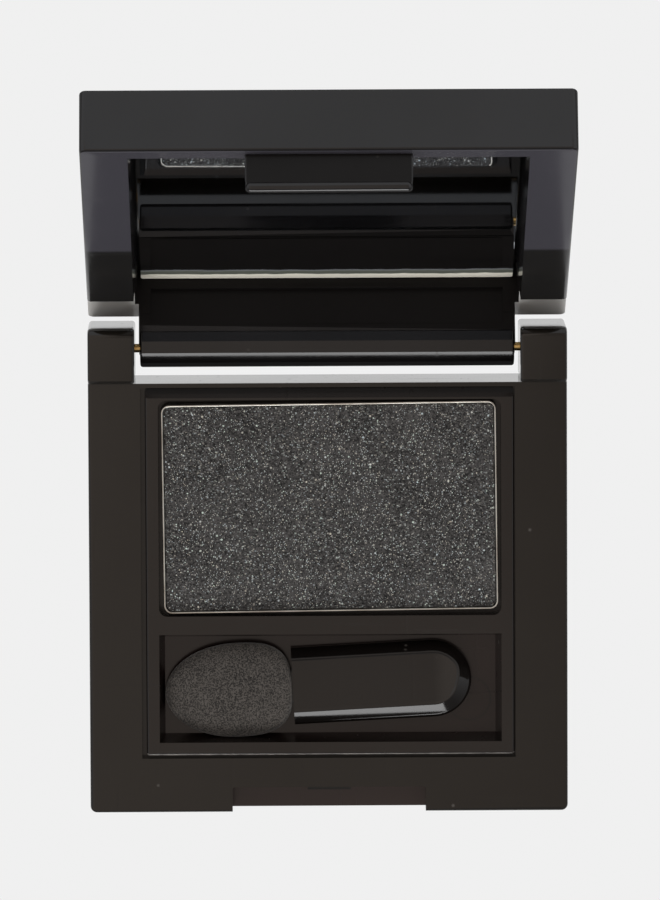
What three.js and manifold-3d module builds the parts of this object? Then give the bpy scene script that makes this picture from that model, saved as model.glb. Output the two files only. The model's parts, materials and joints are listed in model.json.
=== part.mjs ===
// A single eyeshadow palette: a square base with a powder pan and a sponge
// applicator in a tray insert, and a mirrored lid on two brass hinge pins.
// Units are millimetres, +Z is up and the latch side faces -Y. The origin is
// the centre of the base's underside. The lid is shown open on its stop.
import * as THREE from 'three';
import { mergeVertices } from 'three/addons/utils/BufferGeometryUtils.js';
import Module from 'manifold-3d';

// Overall sizes
const BASE_W = 44.0;
const BASE_D = 44.8;
const BASE_H = 8.5;
const LID_H = 6.0;
const CORNER_R = 0.6;
const EDGE_R = 0.3;

// Hinge
const OPEN_ANGLE = 115;
const HINGE_INSET = 2.07;
const HINGE_DROP = 2.8;
const PIN_R = 0.4;
const PIN_LENGTH = 5.3;
const PIN_IN_EAR = 2.2;
const PIN_RUNNING_FIT = 0.08;
const PIN_SEAT_FIT = 0.05;
const EAR_W = 4.3;
const EAR_D = 5.1;
const EAR_RISE = 0.7;
const EAR_REAR_R = 0.85;
const EAR_SIDE_GAP = 0.4;
const EAR_TOP_GAP = 0.35;
const EAR_FRONT_GAP = 1.4;
const BARREL_R = 1.75;
const BARREL_END_R = 0.25;

// Base and tray insert
const FLOOR_T = 1.4;
const FRONT_RAIL = 5.0;
const INSERT_GAP = 0.25;
const INSERT_SHIFT = 0.17;
const REAR_LIP = 0.4;
const REAR_CHAMFER_W = 0.85;
const REAR_CHAMFER_H = 0.55;
const INSERT_TOP_DROP = 0.1;
const FLANGE_T = 1.25;
const FLANGE_LAP = 0.9;
const FLANGE_EDGE_R = 0.22;
const SEAT_GAP = 0.05;
const BRIDGE = 1.7;
const RECESS_MARGIN = 1.2;
const WELL_SIDE_GAP = 0.75;
const WELL_HEADROOM = 0.5;
const WELL_DRAFT = 0.5;
const INSERT_FLOOR_T = 0.9;

// Pan and powder
const PAN_FIT = 0.32;
const PAN_DROP = 0.45;
const PAN_DEPTH = 2.0;
const PAN_WALL = 0.22;
const PAN_R = 0.75;
const PAN_TURN = 0.6;
const POWDER_DROP = 0.16;
const POWDER_FIT = 0.03;
const GLUE_T = 0.12;
const GLUE_MARGIN = 4.0;

// Thumb notch in the base, and the latch tongue on the lid
const NOTCH_W = 17.8;
const NOTCH_DEPTH = 2.3;
const NOTCH_DROP = 4.1;
const NOTCH_R = 0.2;
const CATCH_W = 4.0;
const CATCH_REACH = 0.32;
const CATCH_H = 0.7;
const LATCH_SIDE_GAP = 1.5;
const LATCH_CORNER_R = 0.9;
const LATCH_WEB_T = 0.65;
const LATCH_T = 1.0;
const LATCH_SWING_GAP = 0.63;
const LATCH_DROP_GAP = 0.6;

// Lid and mirror
const RIM_GAP = 0.15;
const LID_RIM = 4.25;
const LID_FRONT_WALL = 1.8;
const REAR_WALL_T = 3.2;
const LID_TOP_T = 1.35;
const MIRROR_T = 1.05;
const MIRROR_GLUE_T = 0.15;
const MIRROR_EDGE_GAP = 0.15;
const WELL_TAPER = 0.5;
const MIRROR_GLUE_MARGIN = 3.0;
const PANEL_RECESS = 0.15;
const PANEL_MARGIN = 1.1;

// Applicator
const APPLICATOR_TURN = 3.0;
const TIP_END_GAP = 0.35;
const GRIP_END_GAP = 2.05;
const APPLICATOR_SET_FORWARD = 0.05;
const HANDLE_L = 16.5;
const HANDLE_W = 7.1;
const HANDLE_T = 2.4;
const HANDLE_EDGE_R = 1.0;
const STEM_L = 8.0;
const STEM_W = 3.0;
const STEM_T = 0.9;
const STEM_FIT = 0.3;
const SPONGE_L = 11.6;
const SPONGE_NECK = 4.2;
const SPONGE_W = 8.5;
const SPONGE_T = 2.7;
const SPONGE_EDGE_R = 1.1;
const WELL_SEAT_GAP = 0.05;

// Places worked out from the sizes above
const HINGE_Y = BASE_D / 2 - HINGE_INSET;
const HINGE_Z = BASE_H - HINGE_DROP;
const EAR_INNER = BASE_W / 2 - EAR_W;
const EAR_FRONT = BASE_D / 2 - EAR_D;
const TONGUE_HALF = EAR_INNER - EAR_SIDE_GAP;
// The well is as wide as the applicator needs, and the tray and the casing's rails follow it.
const WELL_FLOOR_HALF_W = (SPONGE_L + HANDLE_L + TIP_END_GAP + GRIP_END_GAP) / 2;
const RECESS_HALF_W = WELL_FLOOR_HALF_W + WELL_DRAFT;
const INSERT_HALF_W = RECESS_HALF_W + RECESS_MARGIN;
const INSERT_FRONT = -BASE_D / 2 + FRONT_RAIL + INSERT_GAP;
const INSERT_REAR = EAR_FRONT - REAR_LIP - INSERT_GAP / 2;
const INSERT_TOP = BASE_H - INSERT_TOP_DROP;
const WELL_FRONT = INSERT_FRONT + RECESS_MARGIN;
// Lying askew, the grip's round end reaches further from the well's middle than its half width.
const GRIP_REACH = HANDLE_W / 2
  + (HANDLE_L - HANDLE_W / 2) * Math.sin(THREE.MathUtils.degToRad(APPLICATOR_TURN));
const WELL_REAR = WELL_FRONT + 2 * (Math.max(SPONGE_W / 2, GRIP_REACH) + WELL_SIDE_GAP);
const RECESS_FRONT = WELL_REAR + BRIDGE;
const RECESS_REAR = INSERT_REAR - REAR_CHAMFER_W - 0.2;
const PAN_TOP = INSERT_TOP - PAN_DROP;
const PAN_BOTTOM = PAN_TOP - PAN_DEPTH;
const RECESS_FLOOR = PAN_BOTTOM - GLUE_T - 2 * SEAT_GAP;
const WELL_FLOOR = INSERT_TOP - SPONGE_T - WELL_HEADROOM;
const APPLICATOR_X = -WELL_FLOOR_HALF_W + TIP_END_GAP + SPONGE_L;
const APPLICATOR_Y = (WELL_FRONT + WELL_REAR) / 2 - APPLICATOR_SET_FORWARD;
const INSERT_BOTTOM = Math.min(WELL_FLOOR, RECESS_FLOOR) - INSERT_FLOOR_T;
const RIM_W = HINGE_DROP + RIM_GAP;
const LID_TOP_W = HINGE_DROP + LID_H;
const LID_REAR_U = -HINGE_INSET;
const LID_FRONT_U = BASE_D - HINGE_INSET;
const NOTCH_REAR_U = LID_FRONT_U - NOTCH_DEPTH;

const wasm = await Module();
wasm.setup();

// ---- solids from three.js geometry ----

function solid(geometry) {
  const plain = geometry.clone();
  plain.deleteAttribute('normal');
  plain.deleteAttribute('uv');
  const merged = mergeVertices(plain, 1e-5);
  const vertProperties = new Float32Array(merged.attributes.position.array);
  const triVerts = new Uint32Array(merged.index.array);
  return new wasm.Manifold(new wasm.Mesh({ numProp: 3, vertProperties, triVerts }));
}

function geometryOf(body) {
  const mesh = body.getMesh();
  const geometry = new THREE.BufferGeometry();
  geometry.setAttribute('position', new THREE.BufferAttribute(mesh.vertProperties, 3));
  geometry.setIndex(new THREE.BufferAttribute(mesh.triVerts, 1));
  geometry.computeVertexNormals();
  return geometry;
}

function roundedRect(x0, x1, y0, y1, r) {
  const shape = new THREE.Shape();
  shape.moveTo(x0 + r, y0);
  shape.lineTo(x1 - r, y0);
  shape.absarc(x1 - r, y0 + r, r, -Math.PI / 2, 0);
  shape.lineTo(x1, y1 - r);
  shape.absarc(x1 - r, y1 - r, r, 0, Math.PI / 2);
  shape.lineTo(x0 + r, y1);
  shape.absarc(x0 + r, y1 - r, r, Math.PI / 2, Math.PI);
  shape.lineTo(x0, y0 + r);
  shape.absarc(x0 + r, y0 + r, r, Math.PI, Math.PI * 1.5);
  return shape;
}

// A prism of the shape from z0 to z1, its edges rounded by edge inside the shape.
function prism(shape, z0, z1, edge = 0, segments = 3) {
  const geometry = new THREE.ExtrudeGeometry(shape, {
    depth: z1 - z0 - 2 * edge,
    bevelEnabled: edge > 0,
    bevelThickness: edge,
    bevelSize: edge,
    bevelOffset: -edge,
    bevelSegments: segments,
    curveSegments: 5,
  });
  geometry.translate(0, 0, z0 + edge);
  return solid(geometry);
}

function block(x0, x1, y0, y1, z0, z1) {
  const geometry = new THREE.BoxGeometry(x1 - x0, y1 - y0, z1 - z0);
  geometry.translate((x0 + x1) / 2, (y0 + y1) / 2, (z0 + z1) / 2);
  return solid(geometry);
}

// A pocket tool whose four sides slope in by draft between its mouth and its floor.
// It carries on a little past the mouth, at the same slope.
function pocket(x0, x1, y0, y1, floor, mouth, draft) {
  const depth = Math.abs(mouth - floor);
  const past = depth * 0.25;
  const flare = 0.25 * draft;
  const geometry = new THREE.BoxGeometry(2, 2, 1);
  const place = geometry.attributes.position;
  for (let i = 0; i < place.count; i += 1) {
    const atFloor = place.getZ(i) < 0;
    const grow = atFloor ? -draft : flare;
    place.setX(i, (x0 + x1) / 2 + place.getX(i) * ((x1 - x0) / 2 + grow));
    place.setY(i, (y0 + y1) / 2 + place.getY(i) * ((y1 - y0) / 2 + grow));
    place.setZ(i, atFloor ? 0 : depth + past);
  }
  const tool = solid(geometry);
  return (mouth > floor ? tool : tool.mirror([0, 0, 1])).translate([0, 0, floor]);
}

// A prism along X, between x0 and x1, of a section drawn in the Y-Z plane.
function alongX(shape, x0, x1, edge = 0) {
  return prism(shape, x0, x1, edge).rotate([90, 0, 90]);
}

function rodX(radius, x0, x1, y, z) {
  const geometry = new THREE.CylinderGeometry(radius, radius, x1 - x0, 24);
  geometry.rotateZ(Math.PI / 2);
  geometry.translate((x0 + x1) / 2, y, z);
  return solid(geometry);
}

// ---- base ----

function earSection() {
  const top = BASE_H + EAR_RISE;
  const rear = BASE_D / 2;
  const shape = new THREE.Shape();
  shape.moveTo(EAR_FRONT, 0);
  shape.lineTo(rear - EDGE_R, 0);
  shape.lineTo(rear, EDGE_R);
  shape.lineTo(rear, top - EAR_REAR_R);
  shape.absarc(rear - EAR_REAR_R, top - EAR_REAR_R, EAR_REAR_R, 0, Math.PI / 2);
  shape.lineTo(EAR_FRONT + EDGE_R, top);
  shape.lineTo(EAR_FRONT, top - EDGE_R);
  return shape;
}

function pinHole(side, radius, x0, x1) {
  const low = Math.min(side * x0, side * x1);
  const high = Math.max(side * x0, side * x1);
  return rodX(radius, low, high, HINGE_Y, HINGE_Z);
}

function baseShell() {
  const halfW = BASE_W / 2;
  const halfD = BASE_D / 2;
  let body = prism(roundedRect(-halfW, halfW, -halfD, halfD, CORNER_R), 0, BASE_H, EDGE_R);
  body = body.subtract(block(-halfW - 1, halfW + 1, EAR_FRONT, halfD + 1, -1, BASE_H + 1));
  for (const side of [-1, 1]) {
    const inner = side * EAR_INNER;
    const outer = side * halfW;
    const ear = alongX(earSection(), Math.min(inner, outer), Math.max(inner, outer), EDGE_R);
    const root = block(
      Math.min(inner, outer) + EDGE_R, Math.max(inner, outer) - EDGE_R,
      EAR_FRONT - 1, EAR_FRONT + 1, EDGE_R, BASE_H - EDGE_R,
    );
    body = body.add(ear.add(root));
    body = body.subtract(pinHole(side, PIN_R + PIN_SEAT_FIT, EAR_INNER - 1, EAR_INNER + PIN_IN_EAR + 0.1));
  }
  // The tray pocket, and the rebate that the insert's flange drops into.
  const rebate = INSERT_HALF_W + INSERT_GAP;
  const inner = rebate - FLANGE_LAP;
  const flangeSeat = INSERT_TOP - FLANGE_T - SEAT_GAP;
  const rebateFront = INSERT_FRONT - INSERT_GAP;
  const rebateRear = EAR_FRONT - REAR_LIP;
  body = body.subtract(block(-rebate, rebate, rebateFront, rebateRear, flangeSeat, BASE_H + 1));
  const pocketFront = rebateFront + FLANGE_LAP;
  const pocketRear = rebateRear - FLANGE_LAP;
  body = body.subtract(block(-inner, inner, pocketFront, pocketRear, FLOOR_T, BASE_H));
  return body.subtract(thumbNotch()).add(catchBump());
}

function thumbNotch() {
  const front = -BASE_D / 2;
  const shape = roundedRect(
    -NOTCH_W / 2, NOTCH_W / 2, front - NOTCH_R - 1, front + NOTCH_DEPTH, NOTCH_R,
  );
  return prism(shape, BASE_H - NOTCH_DROP, BASE_H + 1);
}

function catchBump() {
  const rear = -BASE_D / 2 + NOTCH_DEPTH;
  const top = BASE_H - 0.4;
  const shape = new THREE.Shape();
  shape.moveTo(rear + 0.3, top - CATCH_H);
  shape.lineTo(rear + 0.3, top);
  shape.lineTo(rear, top);
  shape.lineTo(rear - CATCH_REACH, top - CATCH_H * 0.4);
  shape.lineTo(rear - CATCH_REACH, top - CATCH_H * 0.6);
  shape.lineTo(rear, top - CATCH_H);
  return alongX(shape, -CATCH_W / 2, CATCH_W / 2);
}

// ---- tray insert and what lies in it ----

function trayInsert() {
  const flange = prism(
    roundedRect(-INSERT_HALF_W, INSERT_HALF_W, INSERT_FRONT, INSERT_REAR, 0.3),
    INSERT_TOP - FLANGE_T, INSERT_TOP, FLANGE_EDGE_R, 4,
  );
  const lap = FLANGE_LAP + INSERT_GAP;
  const tub = block(
    -INSERT_HALF_W + lap, INSERT_HALF_W - lap, INSERT_FRONT + lap, INSERT_REAR - lap,
    INSERT_BOTTOM, INSERT_TOP - FLANGE_T / 2,
  );
  const well = pocket(
    -RECESS_HALF_W, RECESS_HALF_W, WELL_FRONT, WELL_REAR, WELL_FLOOR, INSERT_TOP, WELL_DRAFT,
  );
  const recess = prism(
    roundedRect(-RECESS_HALF_W, RECESS_HALF_W, RECESS_FRONT, RECESS_REAR, PAN_R),
    RECESS_FLOOR, INSERT_TOP + 1,
  );
  return flange.add(tub).subtract(well).subtract(recess).subtract(rearChamfer());
}

// The insert's rear edge slopes down towards the hinge.
function rearChamfer() {
  const shape = new THREE.Shape();
  shape.moveTo(INSERT_REAR - REAR_CHAMFER_W, INSERT_TOP);
  shape.lineTo(INSERT_REAR + 0.2, INSERT_TOP - REAR_CHAMFER_H * (1 + 0.2 / REAR_CHAMFER_W));
  shape.lineTo(INSERT_REAR + 0.2, INSERT_TOP + 1);
  shape.lineTo(INSERT_REAR - REAR_CHAMFER_W, INSERT_TOP + 1);
  return alongX(shape, -INSERT_HALF_W - 1, INSERT_HALF_W + 1);
}

function panOutline(inset) {
  const edge = PAN_FIT + inset;
  return roundedRect(
    -RECESS_HALF_W + edge, RECESS_HALF_W - edge, RECESS_FRONT + edge, RECESS_REAR - edge,
    Math.max(PAN_R - inset, 0.2),
  );
}

function powderPan() {
  const outer = prism(panOutline(0), PAN_BOTTOM, PAN_TOP);
  return outer.subtract(prism(panOutline(PAN_WALL), PAN_BOTTOM + PAN_WALL, PAN_TOP + 1));
}

function pressedPowder() {
  const inset = PAN_WALL + POWDER_FIT;
  return prism(panOutline(inset), PAN_BOTTOM + inset, PAN_TOP - POWDER_DROP, 0.08, 1);
}

function panAdhesive() {
  return prism(
    roundedRect(
      -RECESS_HALF_W + GLUE_MARGIN, RECESS_HALF_W - GLUE_MARGIN,
      RECESS_FRONT + GLUE_MARGIN, RECESS_REAR - GLUE_MARGIN, 1,
    ),
    RECESS_FLOOR + SEAT_GAP, RECESS_FLOOR + SEAT_GAP + GLUE_T,
  );
}

// ---- applicator, drawn along X with the sponge's end of the handle at x = 0 ----

function handleOutline() {
  const half = HANDLE_W / 2;
  const shape = new THREE.Shape();
  shape.moveTo(0, -half);
  shape.lineTo(HANDLE_L - half, -half);
  shape.absarc(HANDLE_L - half, 0, half, -Math.PI / 2, Math.PI / 2);
  shape.lineTo(0, half);
  return shape;
}

function applicatorHandle() {
  const grip = prism(handleOutline(), 0, HANDLE_T, HANDLE_EDGE_R);
  const mid = HANDLE_T / 2;
  const stem = block(
    -STEM_L, 1, -STEM_W / 2, STEM_W / 2, mid - STEM_T / 2, mid + STEM_T / 2,
  );
  return grip.add(stem);
}

function spongeTip() {
  const half = SPONGE_W / 2;
  const widest = -STEM_FIT - SPONGE_NECK;
  const shape = new THREE.Shape();
  shape.absellipse(widest, 0, SPONGE_NECK, half, -Math.PI / 2, Math.PI / 2);
  shape.absellipse(widest, 0, SPONGE_L - SPONGE_NECK, half, Math.PI / 2, Math.PI * 1.5);
  const body = prism(shape, 0, SPONGE_T, SPONGE_EDGE_R, 3);
  const mid = HANDLE_T / 2;
  const slot = block(
    -STEM_L - STEM_FIT, 1, -STEM_W / 2 - STEM_FIT, STEM_W / 2 + STEM_FIT,
    mid - STEM_T / 2 - STEM_FIT, mid + STEM_T / 2 + STEM_FIT,
  );
  return body.subtract(slot);
}

// ---- lid, drawn closed: y = -(distance in front of the hinge), z = height above it ----

// The latch tongue hangs from the front rim: a thin web with a round bead along its tip.
function latchTongue() {
  const half = NOTCH_W / 2 - LATCH_SIDE_GAP;
  const inner = NOTCH_REAR_U + LATCH_SWING_GAP;
  const tip = RIM_W - NOTCH_DROP + LATCH_DROP_GAP;
  const r = LATCH_T / 2;
  const webInner = inner + (LATCH_T - LATCH_WEB_T) / 2;
  const outline = roundedRect(-half, half, tip + 0.1, RIM_W + 1.5, LATCH_CORNER_R);
  const web = prism(outline, webInner, webInner + LATCH_WEB_T, 0.12, 2).rotate([90, 0, 0]);
  const bead = new THREE.CapsuleGeometry(r, 2 * (half - r), 6, 20);
  bead.rotateZ(Math.PI / 2);
  bead.translate(0, -inner - r, tip + r);
  return web.add(solid(bead));
}

function lidShell() {
  const halfW = BASE_W / 2;
  let body = prism(
    roundedRect(-halfW, halfW, -LID_FRONT_U, -LID_REAR_U, CORNER_R), RIM_W, LID_TOP_W, EDGE_R,
  );
  // Room for the ears at both rear corners.
  const ceiling = HINGE_DROP + EAR_RISE + EAR_TOP_GAP;
  const recessFront = -(EAR_D - HINGE_INSET + EAR_FRONT_GAP);
  for (const side of [-1, 1]) {
    const inner = side * TONGUE_HALF;
    const outer = side * (halfW + 1);
    body = body.subtract(block(
      Math.min(inner, outer), Math.max(inner, outer),
      recessFront, HINGE_INSET + 1, RIM_W - 1, ceiling,
    ));
  }
  // The rear wall comes down between the ears to the hinge barrel.
  const wallFront = -(REAR_WALL_T - HINGE_INSET);
  const wall = block(-TONGUE_HALF, TONGUE_HALF, wallFront, HINGE_INSET - EDGE_R, 0, LID_TOP_W - 1);
  const barrelEnds = TONGUE_HALF - 0.1;
  const barrel = prism(
    new THREE.Shape().absarc(0, 0, BARREL_R, 0, Math.PI * 2),
    -barrelEnds, barrelEnds, BARREL_END_R,
  ).rotate([90, 0, 90]);
  body = body.add(wall).add(barrel);
  // The mirror's well, and the shallow panel sunk in the rear wall's inner face.
  const rimInner = halfW - LID_RIM;
  const wellFloor = LID_TOP_W - LID_TOP_T;
  const mirrorWell = pocket(
    -rimInner, rimInner, -LID_FRONT_U + LID_FRONT_WALL, wallFront - 0.05,
    wellFloor, RIM_W, WELL_TAPER,
  );
  body = body.subtract(mirrorWell);
  const panelHalf = TONGUE_HALF - PANEL_MARGIN;
  body = body.subtract(block(
    -panelHalf, panelHalf, wallFront - 1, wallFront + PANEL_RECESS,
    BARREL_R + 0.2, wellFloor - MIRROR_T - PANEL_MARGIN,
  ));
  body = body.add(latchTongue());
  for (const side of [-1, 1]) {
    const x0 = Math.min(side * (EAR_INNER + 1), side * (EAR_INNER + PIN_IN_EAR - PIN_LENGTH - 0.2));
    const x1 = Math.max(side * (EAR_INNER + 1), side * (EAR_INNER + PIN_IN_EAR - PIN_LENGTH - 0.2));
    body = body.subtract(rodX(PIN_R + PIN_RUNNING_FIT, x0, x1, 0, 0));
  }
  return body;
}

function mirrorPlate(margin, low, high) {
  const half = BASE_W / 2 - LID_RIM - WELL_TAPER - MIRROR_EDGE_GAP - margin;
  const front = -LID_FRONT_U + LID_FRONT_WALL + WELL_TAPER + MIRROR_EDGE_GAP + margin;
  const rear = -(REAR_WALL_T - HINGE_INSET) - WELL_TAPER - MIRROR_EDGE_GAP - margin;
  return prism(roundedRect(-half, half, front, rear, 0.3), low, high);
}

// ---- the assembly ----

function finish(color, roughness, metalness = 0) {
  return new THREE.MeshStandardMaterial({ color, roughness, metalness });
}

const blackGloss = finish(0x1a1817, 0.12);
const insertBlack = finish(0x1c1918, 0.22);
const tin = finish(0xb8b3a6, 0.3, 1);
const glitterBlack = finish(0x2b2b2c, 0.8);
const sponge = finish(0x2a2827, 0.95);
const brass = finish(0xb98a3a, 0.25, 1);
const silvered = finish(0xdfe3e6, 0.03, 1);
const glue = finish(0xd8d6cf, 0.6);

function mesh(name, body, material) {
  const item = new THREE.Mesh(geometryOf(body), material);
  item.name = name;
  return item;
}

const palette = new THREE.Group();
palette.add(mesh('base_shell', baseShell(), blackGloss));

// The insert sits against the right side of its pocket.
const insert = new THREE.Group();
insert.position.x = INSERT_SHIFT;
insert.add(mesh('tray_insert', trayInsert(), insertBlack));
insert.add(mesh('pan_adhesive', panAdhesive(), glue));
palette.add(insert);

// The pan was set down a little askew, turned about its own middle.
const panMiddle = (RECESS_FRONT + RECESS_REAR) / 2;
const pan = new THREE.Group();
pan.position.y = panMiddle;
pan.rotation.z = THREE.MathUtils.degToRad(PAN_TURN);
for (const [name, body, material] of [
  ['powder_pan', powderPan(), tin],
  ['pressed_powder', pressedPowder(), glitterBlack],
]) {
  const item = mesh(name, body, material);
  item.position.y = -panMiddle;
  pan.add(item);
}
insert.add(pan);

for (const [name, side] of [['hinge_pin_left', -1], ['hinge_pin_right', 1]]) {
  const end = EAR_INNER + PIN_IN_EAR;
  palette.add(mesh(name, pinHole(side, PIN_R, end - PIN_LENGTH, end), brass));
}

const applicator = new THREE.Group();
applicator.add(mesh('applicator_handle', applicatorHandle(), blackGloss));
applicator.add(mesh('sponge_tip', spongeTip(), sponge));
applicator.position.set(APPLICATOR_X, APPLICATOR_Y, WELL_FLOOR + WELL_SEAT_GAP);
applicator.rotation.z = THREE.MathUtils.degToRad(APPLICATOR_TURN);
palette.add(applicator);

const lid = new THREE.Group();
const mirrorTop = LID_TOP_W - LID_TOP_T - MIRROR_GLUE_T - 2 * SEAT_GAP;
lid.add(mesh('lid_shell', lidShell(), blackGloss));
lid.add(mesh('mirror_glass', mirrorPlate(0, mirrorTop - MIRROR_T, mirrorTop), silvered));
lid.add(mesh('mirror_adhesive', mirrorPlate(
  MIRROR_GLUE_MARGIN, mirrorTop + SEAT_GAP, mirrorTop + SEAT_GAP + MIRROR_GLUE_T,
), glue));
lid.position.set(0, HINGE_Y, HINGE_Z);
lid.rotation.x = -THREE.MathUtils.degToRad(OPEN_ANGLE);
palette.add(lid);

export default palette;
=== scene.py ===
import json
from math import cos, pi, radians, sin

import bpy
import numpy as np
from mathutils import Matrix, Vector


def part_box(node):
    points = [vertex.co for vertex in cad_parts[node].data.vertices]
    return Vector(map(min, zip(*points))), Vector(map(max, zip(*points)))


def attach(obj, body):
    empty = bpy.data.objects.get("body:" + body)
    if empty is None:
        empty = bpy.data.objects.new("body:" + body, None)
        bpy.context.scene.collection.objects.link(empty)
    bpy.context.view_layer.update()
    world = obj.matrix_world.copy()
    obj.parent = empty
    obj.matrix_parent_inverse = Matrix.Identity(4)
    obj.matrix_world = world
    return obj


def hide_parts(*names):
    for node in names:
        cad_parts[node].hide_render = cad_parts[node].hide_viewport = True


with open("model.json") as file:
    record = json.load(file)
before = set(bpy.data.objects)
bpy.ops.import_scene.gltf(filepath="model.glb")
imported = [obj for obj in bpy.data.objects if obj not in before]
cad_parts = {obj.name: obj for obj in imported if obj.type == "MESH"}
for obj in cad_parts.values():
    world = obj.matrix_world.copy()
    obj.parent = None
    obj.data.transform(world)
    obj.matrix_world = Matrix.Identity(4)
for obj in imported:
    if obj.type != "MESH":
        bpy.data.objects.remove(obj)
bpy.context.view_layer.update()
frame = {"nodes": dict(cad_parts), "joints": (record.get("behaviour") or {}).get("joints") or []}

MM = 0.001

# ---- The pale table, the light tent and the camera ----
# The table glows a little, as a light table does, so that no hard shadow falls on it.
# A soft card hangs overhead, brighter on the left, and a lamp stands low in front.

scene = bpy.context.scene
scene.view_settings.view_transform = "Standard"
scene.view_settings.look = "None"


class Nodes:
    """Short names for making and joining the nodes of one tree."""

    def __init__(self, tree):
        self.tree = tree

    def add(self, kind, inputs=None, **settings):
        node = self.tree.nodes.new(kind)
        for name, value in settings.items():
            setattr(node, name, value)
        for name, value in (inputs or {}).items():
            socket = node.inputs[name]
            if isinstance(value, bpy.types.NodeSocket):
                self.tree.links.new(value, socket)
            else:
                socket.default_value = value
        return node

    def math(self, operation, a, b=0.0, clamp=False):
        node = self.add("ShaderNodeMath", {0: a, 1: b}, operation=operation)
        node.use_clamp = clamp
        return node.outputs[0]

    def mix(self, factor, a, b):
        node = self.add("ShaderNodeMix", {0: factor, 6: a, 7: b}, data_type="RGBA")
        return node.outputs[2]

    def spread(self, value, low, high, to_low=0.0, to_high=1.0):
        """Maps low..high onto to_low..to_high, held at both ends."""
        node = self.add("ShaderNodeMapRange", {
            "Value": value, "From Min": low, "From Max": high,
            "To Min": to_low, "To Max": to_high,
        })
        return node.outputs[0]

    def link(self, source, target):
        self.tree.links.new(source, target)


def surface_material(name, **sockets):
    """A material with one Principled shader, whose plain values are on its own sockets."""
    material = bpy.data.materials.new(name)
    material.use_nodes = True
    tree = material.node_tree
    shader = tree.nodes["Principled BSDF"]
    for socket, value in sockets.items():
        shader.inputs[socket.replace("_", " ")].default_value = value
    return material, Nodes(tree), shader


def stage_emitter(name):
    """An emitting stage material, with its tree and its emission node."""
    material = bpy.data.materials.new(name)
    material.use_nodes = True
    tree = material.node_tree
    tree.nodes.clear()
    make = Nodes(tree)
    out = make.add("ShaderNodeOutputMaterial")
    glow = make.add("ShaderNodeEmission")
    make.link(glow.outputs[0], out.inputs["Surface"])
    return material, make, glow


def table_glow():
    """The lit table: plain white to the camera and in the faces that stand close over it, and
    duller in what the polished faces mirror from further off."""
    material, make, glow = stage_emitter("table_glow")
    ray = make.add("ShaderNodeLightPath").outputs
    far = make.spread(ray["Ray Length"], NEAR_SHEEN, FAR_SHEEN)
    mirrored = make.math("MULTIPLY", ray["Is Glossy Ray"], far)
    strength = make.spread(mirrored, 0.0, 1.0, TABLE_GLOW, TABLE_SHEEN)
    make.link(strength, glow.inputs["Strength"])
    return material


def card_glow():
    """The warm overhead card, which fades along X from its left to its right."""
    material, make, glow = stage_emitter("card_glow")
    where = make.add("ShaderNodeTexCoord").outputs["Object"]
    x = make.add("ShaderNodeSeparateXYZ", {0: where}).outputs[0]
    strength = make.spread(x, -CARD_FADE, CARD_FADE, CARD_GLOW_LEFT, CARD_GLOW_RIGHT)
    make.link(strength, glow.inputs["Strength"])
    glow.inputs["Color"].default_value = (1.0, 0.87, 0.77, 1)
    return material


def sheet_of(name, corners, material):
    """A flat four-cornered stage piece."""
    mesh = bpy.data.meshes.new(name)
    mesh.from_pydata(corners, [], [(0, 1, 2, 3)])
    mesh.materials.append(material)
    piece = bpy.data.objects.new(name, mesh)
    scene.collection.objects.link(piece)
    return piece


TABLE_GLOW = 0.87
TABLE_SHEEN = 0.30
NEAR_SHEEN = 9 * MM
FAR_SHEEN = 35 * MM
CARD_GLOW_LEFT = 0.74
CARD_GLOW_RIGHT = 0.42
CARD_FADE = 0.09
CARD_HEIGHT = 1.1
table = sheet_of("table", [(-3, -3, 0), (3, -3, 0), (3, 3, 0), (-3, 3, 0)], table_glow())
card_corners = [(-0.6, -0.6), (-0.6, 0.8), (0.6, 0.8), (0.6, -0.6)]
card = sheet_of("overhead_card", [(x, y, CARD_HEIGHT) for x, y in card_corners], card_glow())
card.visible_camera = False

# The tent is open at the front, where the room behind the camera is dim.
TENT_FRONT = 0.15
TENT_REAR = 0.8
world = bpy.data.worlds.new("light_tent")
world.use_nodes = True
make = Nodes(world.node_tree)
toward = make.add("ShaderNodeTexCoord").outputs["Generated"]
toward_y = make.add("ShaderNodeSeparateXYZ", {0: toward}).outputs[1]
background = world.node_tree.nodes["Background"]
background.inputs["Color"].default_value = (0.97, 0.98, 1.0, 1.0)
make.link(make.spread(toward_y, -0.7, 0.15, TENT_FRONT, TENT_REAR), background.inputs["Strength"])
scene.world = world


def lamp(name, place, aim, width, height, power):
    data = bpy.data.lights.new(name, "AREA")
    data.shape = "RECTANGLE"
    data.size = width
    data.size_y = height
    data.energy = power
    item = bpy.data.objects.new(name, data)
    item.location = place
    item.rotation_euler = (Vector(aim) - Vector(place)).to_track_quat("-Z", "Y").to_euler()
    scene.collection.objects.link(item)
    return item


lamp("front_lamp", (-0.1, -0.9, 0.42), (0, 0, 0), 0.9, 0.44, 6.4)

CAMERA_PLACE = Vector((-0.00578, 0.10016, 0.89825))
CAMERA_AIM = Vector((0.00021, 0.0111, 0.0085))
CAMERA_ROLL = radians(-0.255)
camera_data = bpy.data.cameras.new("camera")
camera_data.lens = 389.5
camera_data.sensor_width = 36
camera_data.clip_start = 0.05
camera_data.clip_end = 20
camera = bpy.data.objects.new("camera", camera_data)
# The picture's up direction is +Y, turned by the roll.
backward = (CAMERA_PLACE - CAMERA_AIM).normalized()
right = Vector((0, 1, 0)).cross(backward).normalized()
upward = backward.cross(right)
turned = Matrix((right, upward, backward)).transposed() @ Matrix.Rotation(CAMERA_ROLL, 3, "Z")
camera.matrix_world = Matrix.Translation(CAMERA_PLACE) @ turned.to_4x4()
scene.collection.objects.link(camera)
scene.camera = camera

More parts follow.
